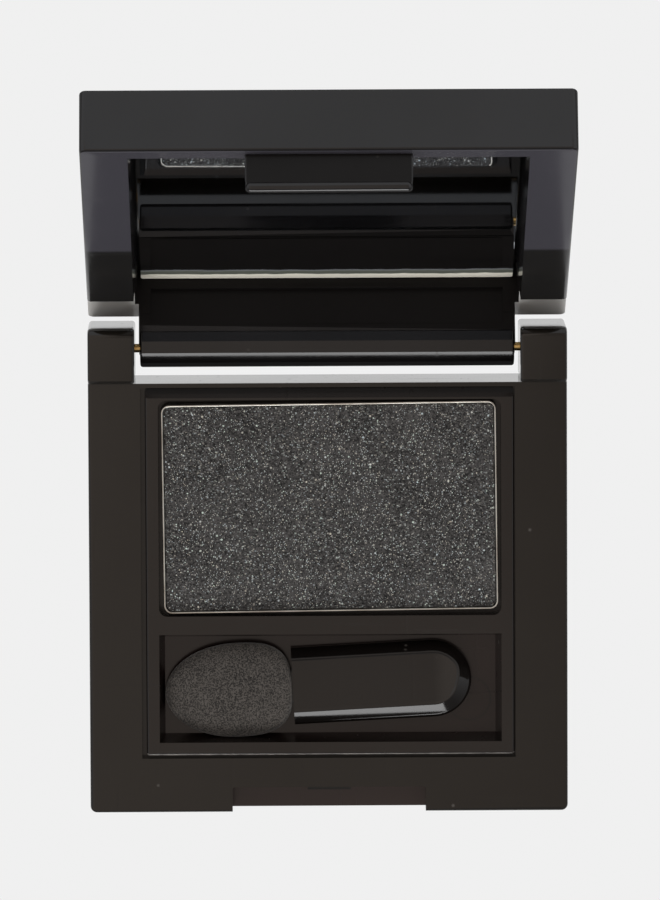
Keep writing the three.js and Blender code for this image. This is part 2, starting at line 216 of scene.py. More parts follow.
# ---- Base shell ----
# The square lower half, with two hinge ears, a tray pocket and a thumb notch.
# One injection moulding in black polystyrene, polished, with faint handling marks.


def shell_copy(node, name, angle=28):
    """A piece with a CAD node's own surface, its loose corners joined and its round edges
    shaded smooth, so that only edges sharper than angle stay crisp. Large faces lead the
    shading beside them, so that flats stay flat up to their rounds."""
    source = frame["nodes"][node]
    mesh = source.data.copy()
    mesh.name = name
    mesh.materials.clear()
    piece = bpy.data.objects.new(name, mesh)
    scene.collection.objects.link(piece)
    joined = piece.modifiers.new("join", "WELD")
    joined.merge_threshold = 0.000001
    with bpy.context.temp_override(object=piece, active_object=piece, selected_objects=[piece]):
        bpy.ops.object.modifier_apply(modifier="join")
    mesh = piece.data
    if mesh.has_custom_normals:
        mesh.attributes.remove(mesh.attributes["custom_normal"])
    mesh.shade_smooth()
    mesh.set_sharp_from_angle(angle=radians(angle))
    even = piece.modifiers.new("even", "WEIGHTED_NORMAL")
    even.keep_sharp = True
    even.weight = 100
    with bpy.context.temp_override(object=piece, active_object=piece, selected_objects=[piece]):
        bpy.ops.object.modifier_apply(modifier="even")
    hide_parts(node)
    return piece


def marks_group():
    """Handling marks on polished plastic: hairline scratches, which are noise stretched far
    along one direction and cut to a thin band, wide smears of finer polish, and dust specks,
    which are the centres of a few scattered cells."""
    group = bpy.data.node_groups.new("handling_marks", "ShaderNodeTree")
    face = group.interface
    for label, value in (("Smooth", 0.1), ("Worn", 0.2), ("Dust", 0.5), ("Scale", 1.0)):
        face.new_socket(label, in_out="INPUT", socket_type="NodeSocketFloat").default_value = value
    for label in ("Roughness", "Height", "Dust"):
        face.new_socket(label, in_out="OUTPUT", socket_type="NodeSocketFloat")
    make = Nodes(group)
    given = make.add("NodeGroupInput").outputs
    result = make.add("NodeGroupOutput")
    place = make.add("ShaderNodeTexCoord").outputs["Object"]
    scaled = make.add("ShaderNodeVectorMath", {0: place, "Scale": given["Scale"]}, operation="SCALE")
    where = scaled.outputs[0]
    lines = None
    for turn, stretch in ((0.5, (60, 1400, 900)), (-0.9, (1700, 80, 900))):
        mapped = make.add("ShaderNodeMapping", {
            "Vector": where, "Rotation": (0, 0, turn), "Scale": stretch,
        }).outputs[0]
        noise = make.add("ShaderNodeTexNoise", {"Vector": mapped, "Scale": 1.0, "Detail": 1.0}).outputs[0]
        line = make.spread(noise, 0.70, 0.76)
        lines = line if lines is None else make.math("MAXIMUM", lines, line)
    smear = make.add("ShaderNodeTexNoise", {"Vector": where, "Scale": 90.0, "Detail": 4.0}).outputs[0]
    smear = make.spread(smear, 0.4, 0.75)
    cells = make.add("ShaderNodeTexVoronoi", {"Vector": where, "Scale": 700.0})
    near = make.spread(cells.outputs["Distance"], 0.0, 0.14, 1.0, 0.0)
    chosen = make.add("ShaderNodeSeparateColor", {0: cells.outputs["Color"]}).outputs[0]
    dust = make.math("MULTIPLY", near, make.spread(chosen, 0.93, 0.96))
    dust = make.math("MULTIPLY", dust, given["Dust"])
    wear = make.math("ADD", make.math("MULTIPLY", lines, 0.7), make.math("MULTIPLY", smear, 0.45))
    span = make.math("SUBTRACT", given["Worn"], given["Smooth"])
    rough = make.math("ADD", given["Smooth"], make.math("MULTIPLY", span, wear))
    make.link(make.math("ADD", rough, make.math("MULTIPLY", dust, 0.5)), result.inputs["Roughness"])
    ripple = make.add("ShaderNodeTexNoise", {"Vector": where, "Scale": 260.0, "Detail": 2.0}).outputs[0]
    height = make.math("SUBTRACT", make.math("MULTIPLY", ripple, 0.35), make.math("MULTIPLY", lines, 0.25))
    make.link(make.math("ADD", height, dust), result.inputs["Height"])
    make.link(dust, result.inputs["Dust"])
    return group


handling_marks = marks_group()
DUST_COLOUR = (0.16, 0.15, 0.14, 1)


def moulded_plastic(name, colour, pale, smooth, worn, dust=0.6, relief=0.000012):
    """Polished black moulding: colour drifting slowly towards pale, with handling marks."""
    material, make, shader = surface_material(name, IOR=1.5)
    marks = make.add("ShaderNodeGroup", {
        "Smooth": smooth, "Worn": worn, "Dust": dust, "Scale": 1.0,
    }, node_tree=handling_marks)
    where = make.add("ShaderNodeTexCoord").outputs["Object"]
    drift = make.add("ShaderNodeTexNoise", {"Vector": where, "Scale": 60.0, "Detail": 3.0}).outputs[0]
    base = make.mix(make.spread(drift, 0.35, 0.65), colour, pale)
    base = make.mix(marks.outputs["Dust"], base, DUST_COLOUR)
    make.link(base, shader.inputs["Base Color"])
    make.link(marks.outputs["Roughness"], shader.inputs["Roughness"])
    bump = make.add("ShaderNodeBump", {
        "Height": marks.outputs["Height"], "Distance": relief, "Strength": 0.5,
    })
    make.link(bump.outputs[0], shader.inputs["Normal"])
    return material, make, shader


base_shell = shell_copy("base_shell", "base_casing")
base_plastic = moulded_plastic(
    "base_black_plastic", (0.0075, 0.0058, 0.0042, 1), (0.0105, 0.0085, 0.0066, 1), 0.10, 0.24,
)[0]
base_shell.data.materials.append(base_plastic)
# The ledge of the thumb notch has a finish of its own, a redder black.
ledge_plastic = moulded_plastic(
    "notch_ledge_plastic", (0.0200, 0.0118, 0.0112, 1), (0.0260, 0.0160, 0.0150, 1), 0.2, 0.4,
)[0]
base_shell.data.materials.append(ledge_plastic)
NOTCH_REACH = 3.0 * MM
NOTCH_HALF = 9.0 * MM
LEDGE_BELOW = 2.0 * MM
base_low, base_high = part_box("base_shell")
for face in base_shell.data.polygons:
    x, y, z = face.center
    over_front = y - base_low[1] < NOTCH_REACH and abs(x) < NOTCH_HALF
    if face.normal.z > 0.9 and over_front and base_high[2] - z > LEDGE_BELOW:
        face.material_index = 1
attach(base_shell, "base")

# ---- Tray insert ----
# The drop-in tray that holds the pan and the applicator, seated on its flange.
# Black polystyrene again, from a duller tool, a little browner inside the well.

tray = shell_copy("tray_insert", "tray")
tray_plastic, make, shader = moulded_plastic(
    "tray_black_plastic", (0.0085, 0.0062, 0.0052, 1), (0.0125, 0.0095, 0.0082, 1), 0.16, 0.34, dust=0.9,
)
# A faint ring, such as an ejector pin leaves, is on the well's floor near its right end.
EJECTOR_PLACE = (12.95 * MM, -12.35 * MM, 0)
EJECTOR_R = 2.0 * MM
where = make.add("ShaderNodeTexCoord").outputs["Object"]
flat = make.add("ShaderNodeVectorMath", {0: where, 1: (1, 1, 0)}, operation="MULTIPLY").outputs[0]
away = make.add("ShaderNodeVectorMath", {0: flat, 1: EJECTOR_PLACE}, operation="DISTANCE")
ring_gap = make.math("ABSOLUTE", make.math("SUBTRACT", away.outputs["Value"], EJECTOR_R))
ring = make.spread(ring_gap, 0.00004, 0.00011, 1.0, 0.0)
height = make.add("ShaderNodeSeparateXYZ", {0: where}).outputs[2]
tray_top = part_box("tray_insert")[1][2]
below = make.spread(height, tray_top - 0.0032, tray_top - 0.0012, 1.0, 0.0)
joined = shader.inputs["Base Color"].links[0].from_socket
browner = make.mix(below, joined, (0.0165, 0.0088, 0.0082, 1))
ringed = make.mix(make.math("MULTIPLY", ring, below), browner, (0.003, 0.002, 0.002, 1))
make.link(ringed, shader.inputs["Base Color"])
tray.data.materials.append(tray_plastic)


def edge_highlight_plastic():
    """A painted highlight: a pale edge, broken up along its length."""
    material, make, shader = surface_material("painted_edge_highlight", Roughness=0.3)
    where = make.add("ShaderNodeTexCoord").outputs["Object"]
    # The noise breaks the painted highlight up into paler and darker stretches.
    worn = make.add("ShaderNodeTexNoise", {"Vector": where, "Scale": 900.0, "Detail": 3.0}).outputs[0]
    pale = make.mix(make.spread(worn, 0.35, 0.65), (0.10, 0.092, 0.086, 1), (0.30, 0.28, 0.26, 1))
    make.link(pale, shader.inputs["Base Color"])
    return material


# The faces of its flange's front edge that face front and up are painted pale, a painted highlight that reads
# as a fine light line.
painted_edge_highlight = edge_highlight_plastic()
tray.data.materials.append(painted_edge_highlight)
tray_low, tray_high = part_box("tray_insert")
EDGE_BAND = 0.3 * MM
for face in tray.data.polygons:
    at_front = face.center.y - tray_low[1] < EDGE_BAND and tray_high[2] - face.center.z < EDGE_BAND
    if at_front and face.normal.y < -0.2 and face.normal.z > 0.2:
        face.material_index = 1
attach(tray, "base")

# ---- Glue film under the pan ----
# A dab of hot-melt pressed flat between the pan and the tray. Hidden in use.


def glue_material(name, tone):
    """Milky hot-melt film, mottled where it is thicker."""
    material, make, shader = surface_material(name, Roughness=0.45)
    where = make.add("ShaderNodeTexCoord").outputs["Object"]
    mottle = make.add("ShaderNodeTexNoise", {"Vector": where, "Scale": 400.0, "Detail": 3.0}).outputs[0]
    thin = tuple(0.75 * v for v in tone) + (1,)
    make.link(make.mix(make.spread(mottle, 0.4, 0.6), thin, tone + (1,)), shader.inputs["Base Color"])
    return material


glue_film = frame["nodes"]["pan_adhesive"]
glue_film.data.materials.clear()
glue_film.data.materials.append(glue_material("pan_glue", (0.62, 0.6, 0.55)))

# ---- Powder pan ----
# A drawn tinplate pan. Its cut rim stands a hair above the powder as a bright line.


def grid_piece(name, points, close_u=False, close_v=False, material=None, smooth=True):
    """A piece from an array of points on a u by v grid. Neighbours in the grid are joined by
    quads, round again where a direction closes, in the order that faces them along u x v."""
    rows, columns = points.shape[:2]
    index = np.arange(rows * columns).reshape(rows, columns)
    if close_u:
        index = np.vstack([index, index[:1]])
    if close_v:
        index = np.hstack([index, index[:, :1]])
    faces = np.stack([index[:-1, :-1], index[1:, :-1], index[1:, 1:], index[:-1, 1:]], -1)
    faces = faces.reshape(-1, 4)
    mesh = bpy.data.meshes.new(name)
    mesh.from_pydata(points.reshape(-1, 3).tolist(), [], faces.tolist())
    # Poles repeat one point: the repeats are joined, which turns their quads into triangles.
    piece = bpy.data.objects.new(name, mesh)
    scene.collection.objects.link(piece)
    weld = piece.modifiers.new("join", "WELD")
    weld.merge_threshold = 0.0000005
    with bpy.context.temp_override(object=piece, active_object=piece, selected_objects=[piece]):
        bpy.ops.object.modifier_apply(modifier="join")
    if smooth:
        piece.data.shade_smooth()
    if material:
        piece.data.materials.append(material)
    return piece


def rounded_outline(half_x, half_y, radius, steps):
    """Points and outward directions round a rectangle with round corners, counter-clockwise
    from the right end of its lower side: each corner is a quarter circle of 'steps' points."""
    turn = np.concatenate([np.linspace(q, q + pi / 2, steps) for q in (-pi / 2, 0, pi / 2, pi)])
    sx = np.repeat([1, 1, -1, -1], steps)
    sy = np.repeat([-1, 1, 1, -1], steps)
    out = np.stack([np.cos(turn), np.sin(turn)], -1)
    centre = np.stack([sx * (half_x - radius), sy * (half_y - radius)], -1)
    return centre + radius * out, out


def pan_surface(low, high, wall, radius, lip):
    """A tray with a floor: the section climbs the outside, rolls over the rim and goes down the
    inside, and it is carried round a rectangle with round corners, both ends drawn to the
    middle of the floor."""
    half = (high - low) / 2
    middle = (high + low) / 2
    steps = 10
    outline, out = rounded_outline(half[0], half[1], radius, steps)
    floor = low[2]
    rim = high[2]
    roll = np.linspace(0, pi, 7)
    inset = [half[1], 0.25 * MM, 0.0] + list(wall / 2 - wall / 2 * np.cos(roll)) + [wall, half[1]]
    level = [floor, floor, floor + 0.25 * MM] + list(rim - lip + lip * np.sin(roll)) + [floor + wall] * 2
    inset = np.array(inset)[:, None]
    # Towards the middle the outline shrinks in proportion, so that the floor's fan is flat.
    share = np.clip(inset / half[1], 0, 1)
    shrink = np.where(share > 0.9, 0.0, 1.0)
    xy = (outline[None] - inset[..., None] * out[None]) * shrink[..., None] + middle[:2]
    z = np.broadcast_to(np.array(level)[:, None], xy.shape[:2])
    return np.concatenate([xy, z[..., None]], -1)


def drawn_tin():
    """Tinplate: fine rubbing lines along X and Y in the roughness, and a few darker stains."""
    material, make, shader = surface_material("drawn_tin", Metallic=1.0)
    where = make.add("ShaderNodeTexCoord").outputs["Object"]
    mapped = make.add("ShaderNodeMapping", {"Vector": where, "Scale": (500, 500, 4000)}).outputs[0]
    rub = make.add("ShaderNodeTexNoise", {"Vector": mapped, "Scale": 1.0, "Detail": 4.0}).outputs[0]
    make.link(make.spread(rub, 0.3, 0.7, 0.22, 0.46), shader.inputs["Roughness"])
    stain = make.add("ShaderNodeTexNoise", {"Vector": where, "Scale": 300.0, "Detail": 5.0}).outputs[0]
    tone = make.mix(make.spread(stain, 0.42, 0.7), (0.74, 0.72, 0.66, 1), (0.42, 0.38, 0.33, 1))
    make.link(tone, shader.inputs["Base Color"])
    return material


PAN_TURN = radians(0.6)


def askew_box(node):
    """The true corners of a box that stands turned by PAN_TURN about its own middle. Turned,
    a w by h box measures w cos + h sin by w sin + h cos, which is solved for w and h."""
    low, high = (np.array(corner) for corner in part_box(node))
    middle = (low + high) / 2
    wide, deep = (high - low)[:2]
    c, s = cos(PAN_TURN), sin(PAN_TURN)
    scale = c * c - s * s
    half = np.array([(wide * c - deep * s) / scale, (deep * c - wide * s) / scale, high[2] - low[2]]) / 2
    return middle - half, middle + half


def set_askew(points, low, high):
    """Points drawn square on the axes, turned by PAN_TURN about the middle of their box."""
    middle = (low + high) / 2
    x, y = points[..., 0] - middle[0], points[..., 1] - middle[1]
    c, s = cos(PAN_TURN), sin(PAN_TURN)
    return np.stack([middle[0] + c * x - s * y, middle[1] + s * x + c * y, points[..., 2]], -1)


pan_low, pan_high = askew_box("powder_pan")
PAN_WALL = 0.2 * MM
PAN_CORNER = 0.8 * MM
pan_points = pan_surface(pan_low, pan_high, PAN_WALL, PAN_CORNER, 0.1 * MM)
pan = grid_piece(
    "powder_pan_drawn", set_askew(pan_points, pan_low, pan_high), close_v=True, material=drawn_tin(),
)
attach(pan, "base")
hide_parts("powder_pan")

# ---- Pressed powder ----
# Black eyeshadow pressed into the pan, dense with fine glitter of several colours.
# The press leaves the cake almost flat, a touch lower along its edges.


def flat_cake(low, high, radius, sag, rings=46, steps=22):
    """A cake of powder: concentric rounded rectangles shrink to the middle of its top, which
    falls by sag towards the rim, with a small round shoulder, straight sides and a flat base."""
    half = (high - low) / 2
    middle = (high + low) / 2
    outline, out = rounded_outline(half[0], half[1], radius, steps)
    share = np.linspace(0, 1, rings)[:, None, None]
    shoulder = 0.12 * MM
    inner = outline - shoulder * out
    top = inner[None] * share
    fall = -sag * share[..., 0] ** 6
    z = np.broadcast_to(high[2] + fall, top.shape[:2])
    top = np.concatenate([top, z[..., None]], -1)
    bend = np.linspace(0, pi / 2, 5)[1:, None]
    edge_xy = inner[None] + shoulder * np.sin(bend)[..., None] * out[None]
    edge_z = high[2] - sag - shoulder * (1 - np.cos(bend)) + 0 * edge_xy[..., 0]
    edge = np.concatenate([edge_xy, edge_z[..., None]], -1)
    side = np.concatenate([outline, np.full((len(outline), 1), low[2])], -1)[None]
    base = np.concatenate([outline * 0, np.full((len(outline), 1), low[2])], -1)[None]
    points = np.concatenate([top, edge, side, base])
    points[..., :2] += middle[:2]
    return points


def glitter_powder():
    """Pressed black powder: a fine grain of tiny cells over slow cloudiness, and three sizes of
    flake, which are the few cells whose random value is high, tinted from warm to bluish, with
    a few of them greenish."""
    material, make, shader = surface_material("glitter_powder", Specular_IOR_Level=0.25)
    where = make.add("ShaderNodeTexCoord").outputs["Object"]
    cloud = make.add("ShaderNodeTexNoise", {"Vector": where, "Scale": 220.0, "Detail": 4.0}).outputs[0]
    grain = make.add("ShaderNodeTexVoronoi", {"Vector": where, "Scale": 9000.0})
    speck = make.add("ShaderNodeSeparateColor", {0: grain.outputs["Color"]}).outputs[0]
    tone = make.math("ADD", make.math("MULTIPLY", speck, 0.6), make.math("MULTIPLY", cloud, 0.4))
    colour = make.mix(make.spread(tone, 0.2, 0.85), (0.010, 0.0096, 0.0096, 1), (0.122, 0.118, 0.116, 1))
    flakes = None
    normal_from = None
    for scale, cut, bright in ((7600.0, 0.915, 0.95), (11000.0, 0.87, 0.75), (4600.0, 0.972, 1.0)):
        cells = make.add("ShaderNodeTexVoronoi", {"Vector": where, "Scale": scale})
        parts = make.add("ShaderNodeSeparateColor", {0: cells.outputs["Color"]}).outputs
        there = make.spread(parts[0], cut, cut + 0.03)
        core = make.spread(cells.outputs["Distance"], 0.35, 0.55, 1.0, 0.0)
        there = make.math("MULTIPLY", there, core)
        warm = make.mix(parts[1], (1.0, 0.93, 0.78, 1), (0.80, 0.93, 1.0, 1))
        tint = make.mix(make.spread(parts[2], 0.84, 0.88), warm, (0.86, 1.0, 0.92, 1))
        level = make.math("MULTIPLY", make.spread(parts[2], 0.0, 0.8, 0.5, 1.0), bright)
        shade = make.add("ShaderNodeMix", {0: level, 6: (0.04, 0.04, 0.04, 1), 7: tint}, data_type="RGBA")
        colour = make.mix(there, colour, shade.outputs[2])
        flakes = there if flakes is None else make.math("MAXIMUM", flakes, there)
        normal_from = cells if normal_from is None else normal_from
    make.link(colour, shader.inputs["Base Color"])
    make.link(make.spread(flakes, 0.0, 1.0, 0.85, 0.3), shader.inputs["Roughness"])
    make.link(make.math("MULTIPLY", flakes, 0.35), shader.inputs["Metallic"])
    rough = make.add("ShaderNodeTexNoise", {"Vector": where, "Scale": 5000.0, "Detail": 3.0}).outputs[0]
    relief = make.math("ADD", rough, make.math("MULTIPLY", normal_from.outputs["Distance"], flakes))
    bump = make.add("ShaderNodeBump", {"Height": relief, "Distance": 0.00006, "Strength": 0.7})
    make.link(bump.outputs[0], shader.inputs["Normal"])
    return material


cake_low, cake_high = askew_box("pressed_powder")
cake_points = flat_cake(cake_low, cake_high, PAN_CORNER - PAN_WALL, 0.05 * MM)
powder = grid_piece(
    "powder_cake", set_askew(cake_points, cake_low, cake_high), close_v=True, material=glitter_powder(),
)
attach(powder, "base")
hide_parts("pressed_powder")

# ---- Hinge pins ----
# Two short lengths of brass wire, pressed into the ears and free in the lid's barrel.
# Their ends are nipped off and tumbled, so each has a small round.


def pin_surface(low, high, steps=40):
    """A rod along X: a half section with rounded ends, carried round the X axis."""
    radius = (high[2] - low[2]) / 2
    nose = 0.12 * MM
    bend = np.linspace(0, pi / 2, 6)
    r = np.concatenate([[0], radius - nose + nose * np.sin(bend), radius - nose + nose * np.cos(bend), [0]])
    x = np.concatenate([
        [low[0]], low[0] + nose - nose * np.cos(bend), high[0] - nose + nose * np.sin(bend), [high[0]],
    ])
    turn = np.linspace(0, 2 * pi, steps, endpoint=False)
    middle = (low + high) / 2
    y = middle[1] + r[:, None] * np.cos(turn)
    z = middle[2] + r[:, None] * np.sin(turn)
    return np.stack([np.broadcast_to(x[:, None], y.shape), y, z], -1)[:, ::-1]


def drawn_brass():
    """Brass wire: drawing lines that run along X, and tarnish that gathers in patches."""
    material, make, shader = surface_material("drawn_brass", Metallic=1.0)
    where = make.add("ShaderNodeTexCoord").outputs["Object"]
    mapped = make.add("ShaderNodeMapping", {"Vector": where, "Scale": (300, 9000, 9000)}).outputs[0]
    lines = make.add("ShaderNodeTexNoise", {"Vector": mapped, "Scale": 1.0, "Detail": 3.0}).outputs[0]
    make.link(make.spread(lines, 0.3, 0.7, 0.16, 0.34), shader.inputs["Roughness"])
    tarnish = make.add("ShaderNodeTexNoise", {"Vector": where, "Scale": 1500.0, "Detail": 3.0}).outputs[0]
    tone = make.mix(make.spread(tarnish, 0.45, 0.7), (0.86, 0.60, 0.24, 1), (0.48, 0.27, 0.09, 1))
    make.link(tone, shader.inputs["Base Color"])
    return material


brass = drawn_brass()
for node in ("hinge_pin_left", "hinge_pin_right"):
    pin_low, pin_high = (np.array(corner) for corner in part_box(node))
    pin = grid_piece(node + "_wire", pin_surface(pin_low, pin_high), close_v=True, material=brass)
    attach(pin, "base")
    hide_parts(node)

# ---- Applicator handle ----
# A short flat grip with a raised, flat-topped back and sloping flanks, and a thin stem
# that the sponge is pushed onto. Moulded in the same glossy black plastic.

APPLICATOR_TURN = radians(3.0)
handle_low, handle_high = (np.array(corner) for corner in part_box("applicator_handle"))
HANDLE_L = 16.5 * MM
HANDLE_HALF = 3.55 * MM
HANDLE_T = handle_high[2] - handle_low[2]
STEM_L = 8.0 * MM
STEM_HALF = 1.5 * MM
STEM_T = 0.9 * MM
# The applicator's own origin is where the grip meets the sponge, on its centre line.
turn_c = cos(APPLICATOR_TURN)
turn_s = sin(APPLICATOR_TURN)
# The round end's centre lies HANDLE_L - HANDLE_HALF along, and reaches HANDLE_HALF past it.
grip_x = handle_high[0] - HANDLE_HALF - (HANDLE_L - HANDLE_HALF) * turn_c
grip_y = handle_high[1] - HANDLE_HALF - (HANDLE_L - HANDLE_HALF) * turn_s


def lay_applicator(points):
    """Turns points drawn along X by the applicator's turn, and moves them to its place."""
    x = grip_x + points[..., 0] * turn_c - points[..., 1] * turn_s
    y = grip_y + points[..., 0] * turn_s + points[..., 1] * turn_c
    return np.stack([x, y, handle_low[2] + points[..., 2]], -1)


def grip_surface(steps=48):
    """The grip: an outline with one half-round end is drawn inwards by a section that climbs
    the flank, breaks to a bevel, and ends in the flat back behind a fine raised line."""
    turn = np.linspace(-pi / 2, pi / 2, steps)
    straight = np.linspace(0.0, HANDLE_L - HANDLE_HALF, 24)
    flat_n = len(straight) - 1
    centre_x = np.concatenate([straight[:-1], np.full(steps, HANDLE_L - HANDLE_HALF), straight[::-1][1:]])
    out_x = np.concatenate([np.zeros(flat_n), np.cos(turn), np.zeros(flat_n)])
    out_y = np.concatenate([-np.ones(flat_n), np.sin(turn), np.ones(flat_n)])
    t = HANDLE_T / MM
    reach = HANDLE_HALF / MM
    low = [(0.0, 0.0), (reach - 0.55, 0.0), (reach - 0.25, 0.06), (reach - 0.06, 0.25)]
    front = np.array(low + [
        (reach, 0.55), (reach, 1.15), (reach - 0.04, 1.45), (reach - 0.14, 1.66), (reach - 0.27, 1.74),
        (reach - 0.30, t - 0.65), (reach - 0.34, t - 0.63), (reach - 1.21, t - 0.11),
        (reach - 1.25, t - 0.09), (reach - 1.30, t - 0.08), (reach - 1.37, t - 0.09),
        (reach - 1.44, t - 0.13), (reach - 1.54, t - 0.15), (0.0, t - 0.15),
    ])
    rear = np.array(low + [
        (reach, 0.45), (reach, 0.70), (reach - 0.02, 0.86), (reach - 0.05, 0.98), (reach - 0.10, 1.10),
        (reach - 0.16, t - 1.20), (reach - 0.22, t - 1.10), (reach - 0.80, t - 0.17),
        (reach - 0.84, t - 0.11), (reach - 0.89, t - 0.08), (reach - 0.96, t - 0.09),
        (reach - 1.03, t - 0.13), (reach - 1.12, t - 0.15), (0.0, t - 0.15),
    ])
    # The bevel is broad and gentle at the front, and narrow and steep at the rear.
    share = np.clip((out_y + 0.2) / 0.8, 0, 1)[None]
    share = share * share * (3 - 2 * share)
    section = (front[:, None] * (1 - share[..., None]) + rear[:, None] * share[..., None]) * MM
    r, z = section[..., 0], section[..., 1]
    x = centre_x[None] + r * out_x[None]
    y = r * out_y[None]
    return np.stack([x, y, z], -1)


grip_points = lay_applicator(grip_surface())
grip_plastic = moulded_plastic(
    "applicator_black_plastic", (0.0065, 0.0052, 0.0045, 1), (0.0095, 0.0078, 0.007, 1), 0.07, 0.2, dust=0.8,
)[0]
grip = grid_piece("applicator_grip", grip_points, close_v=True, material=grip_plastic)


def flat_bar(x0, x1, half_width, z0, z1, edge, steps=4):
    """A flat bar along X: a rounded rectangle across it, drawn in at both ends to a point."""
    outline, out = rounded_outline(half_width, (z1 - z0) / 2, edge, steps)
    x = np.array([x0, x0, x0 + edge, x1, x1])
    shrink = np.array([0.0, 0.8, 1.0, 1.0, 0.0])
    y = outline[None, :, 0] * shrink[:, None]
    z = outline[None, :, 1] * shrink[:, None] + (z0 + z1) / 2
    return np.stack([np.broadcast_to(x[:, None], y.shape), y, z], -1)


stem_mid = HANDLE_T / 2
stem_points = flat_bar(
    -STEM_L, 0.5 * MM, STEM_HALF, stem_mid - STEM_T / 2, stem_mid + STEM_T / 2, 0.2 * MM,
)
stem = grid_piece("applicator_stem", lay_applicator(stem_points), close_v=True, material=grip_plastic)
for part in (grip, stem):
    part.data.set_sharp_from_angle(angle=radians(50))
    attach(part, "applicator")
    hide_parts("applicator_handle")

# ---- Sponge tip ----
# A leaf-shaped pad of fine latex foam, flocked black, with a slot that grips the stem.
# It is crowned in the middle, thins to a soft rim and has one small crease near its nose.

SPONGE_L = 11.7 * MM
SPONGE_HALF = 4.35 * MM
SPONGE_T = 2.7 * MM


def sponge_outline(along):
    """Half width of the leaf at a share of its length from the grip end: a squarish round
    out to its widest, then half an ellipse to the nose."""
    widest = 0.44
    neck_power = 3.0
    before = np.clip(1 - along / widest, 0, 1)
    after = np.clip((along - widest) / (1 - widest), 0, 1)
    neck = (1 - before ** neck_power) ** (1 / neck_power)
    return SPONGE_HALF * np.where(along < widest, neck, np.sqrt(1 - after ** 2))


def sponge_surface(lengths=96, around=88):
    """The pad: across it, a flattened oval whose top is crowned and whose rim is soft, its
    height falling at the nose and neck."""
    along = (1 - np.cos(np.linspace(0, pi, lengths))) / 2
    half = sponge_outline(along)[:, None]
    turn = np.linspace(0, 2 * pi, around, endpoint=False)[None]
    ca, sa = np.cos(turn), np.sin(turn)
    y = half * np.sign(ca) * np.abs(ca) ** 0.80
    thick = SPONGE_T / 2 * (1 - 0.55 * np.clip((along - 0.5) / 0.5, 0, 1) ** 2.6)[:, None]
    thick = thick * (half / SPONGE_HALF) ** 0.4
    z = thick * np.sign(sa) * np.abs(sa) ** 0.72 + SPONGE_T / 2
    x = np.broadcast_to(-along[:, None] * SPONGE_L - 0.05 * MM, y.shape)
    points = np.stack([x, y, z], -1)
    # A short crease pressed into the top near the nose.
    cx, cy = points[..., 0] / MM, points[..., 1] / MM
    line = cy + 1.15 + 0.45 * (cx + 8.9)
    run = np.exp(-(((cx + 8.9) / 0.75) ** 2))
    dent = 0.10 * MM * np.exp(-((line / 0.13) ** 2)) * run * (sa > 0)
    points[..., 2] -= dent
    return points


def foam_material():
    """Flocked latex foam: a crowd of tiny pores, which are cell centres darkened and sunk,
    lighter worn fibres between them, and a slow cloudiness from handling."""
    material, make, shader = surface_material("flocked_foam", Roughness=0.95, Specular_IOR_Level=0.2)
    shader.inputs["Sheen Weight"].default_value = 0.25
    shader.inputs["Sheen Roughness"].default_value = 0.5
    where = make.add("ShaderNodeTexCoord").outputs["Object"]
    pores = make.add("ShaderNodeTexVoronoi", {"Vector": where, "Scale": 7800.0}).outputs["Distance"]
    fibres = make.add("ShaderNodeTexNoise", {"Vector": where, "Scale": 6500.0, "Detail": 5.0}).outputs[0]
    cloud = make.add("ShaderNodeTexNoise", {"Vector": where, "Scale": 420.0, "Detail": 3.0}).outputs[0]
    level = make.math("ADD", make.math("MULTIPLY", pores, 0.5), make.math("MULTIPLY", fibres, 0.55))
    level = make.math("ADD", level, make.math("MULTIPLY", cloud, 0.15))
    tone = make.mix(make.spread(level, 0.46, 0.72), (0.017, 0.0150, 0.0140, 1), (0.108, 0.098, 0.088, 1))
    make.link(tone, shader.inputs["Base Color"])
    bump = make.add("ShaderNodeBump", {"Height": level, "Distance": 0.00012, "Strength": 0.8})
    make.link(bump.outputs[0], shader.inputs["Normal"])
    return material


sponge = grid_piece(
    "sponge_pad", lay_applicator(sponge_surface()), close_v=True, material=foam_material(),
)
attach(sponge, "applicator")
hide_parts("sponge_tip")

# ---- Lid shell ----
# The upper half: a deep square tray whose rear wall runs down to the hinge barrel, with a
# latch tongue at its front. Moulded in glossy black plastic like the base.

lid_shell = shell_copy("lid_shell", "lid_casing")
lid_plastic, make, shader = moulded_plastic(
    "lid_black_plastic", (0.008, 0.0072, 0.0072, 1), (0.0125, 0.0118, 0.0125, 1), 0.09, 0.22,
)
lid_shell.data.materials.append(lid_plastic)

# The lid's own directions, as it stands open: forward from the hinge, and up through its top.
HINGE = (0.0, frame["joints"][0]["pos_m"][1], frame["joints"][0]["pos_m"][2])
LID_OPEN = radians(115)
LID_FORWARD = (0.0, -cos(LID_OPEN), sin(LID_OPEN))
LID_UP = (0.0, sin(LID_OPEN), cos(LID_OPEN))
EAR_ROOF = 3.85 * MM
REAR_PANEL_REACH = 4.0 * MM
REAR_PANEL_LOW = 1.5 * MM
LATCH_OUT = 38 * MM
LATCH_RISE = 2.8 * MM
LEVEL_SLACK = 0.1 * MM

# Some faces are painted by where they lie. The roofs of the ear recesses are pale grey, a painted light for
# the pale band seen there. The rear wall's inner face and the latch's web are dead black, a painted shade.
roof_painted_light = moulded_plastic(
    "ear_roof_painted_light", (0.62, 0.61, 0.585, 1), (0.70, 0.69, 0.66, 1), 0.35, 0.5,
)[0]
panel_painted_shade, make, shader = moulded_plastic(
    "rear_panel_painted_shade", (0.0035, 0.0026, 0.0024, 1), (0.0052, 0.0042, 0.004, 1), 0.34, 0.5,
)
shader.inputs["Specular IOR Level"].default_value = 0.22
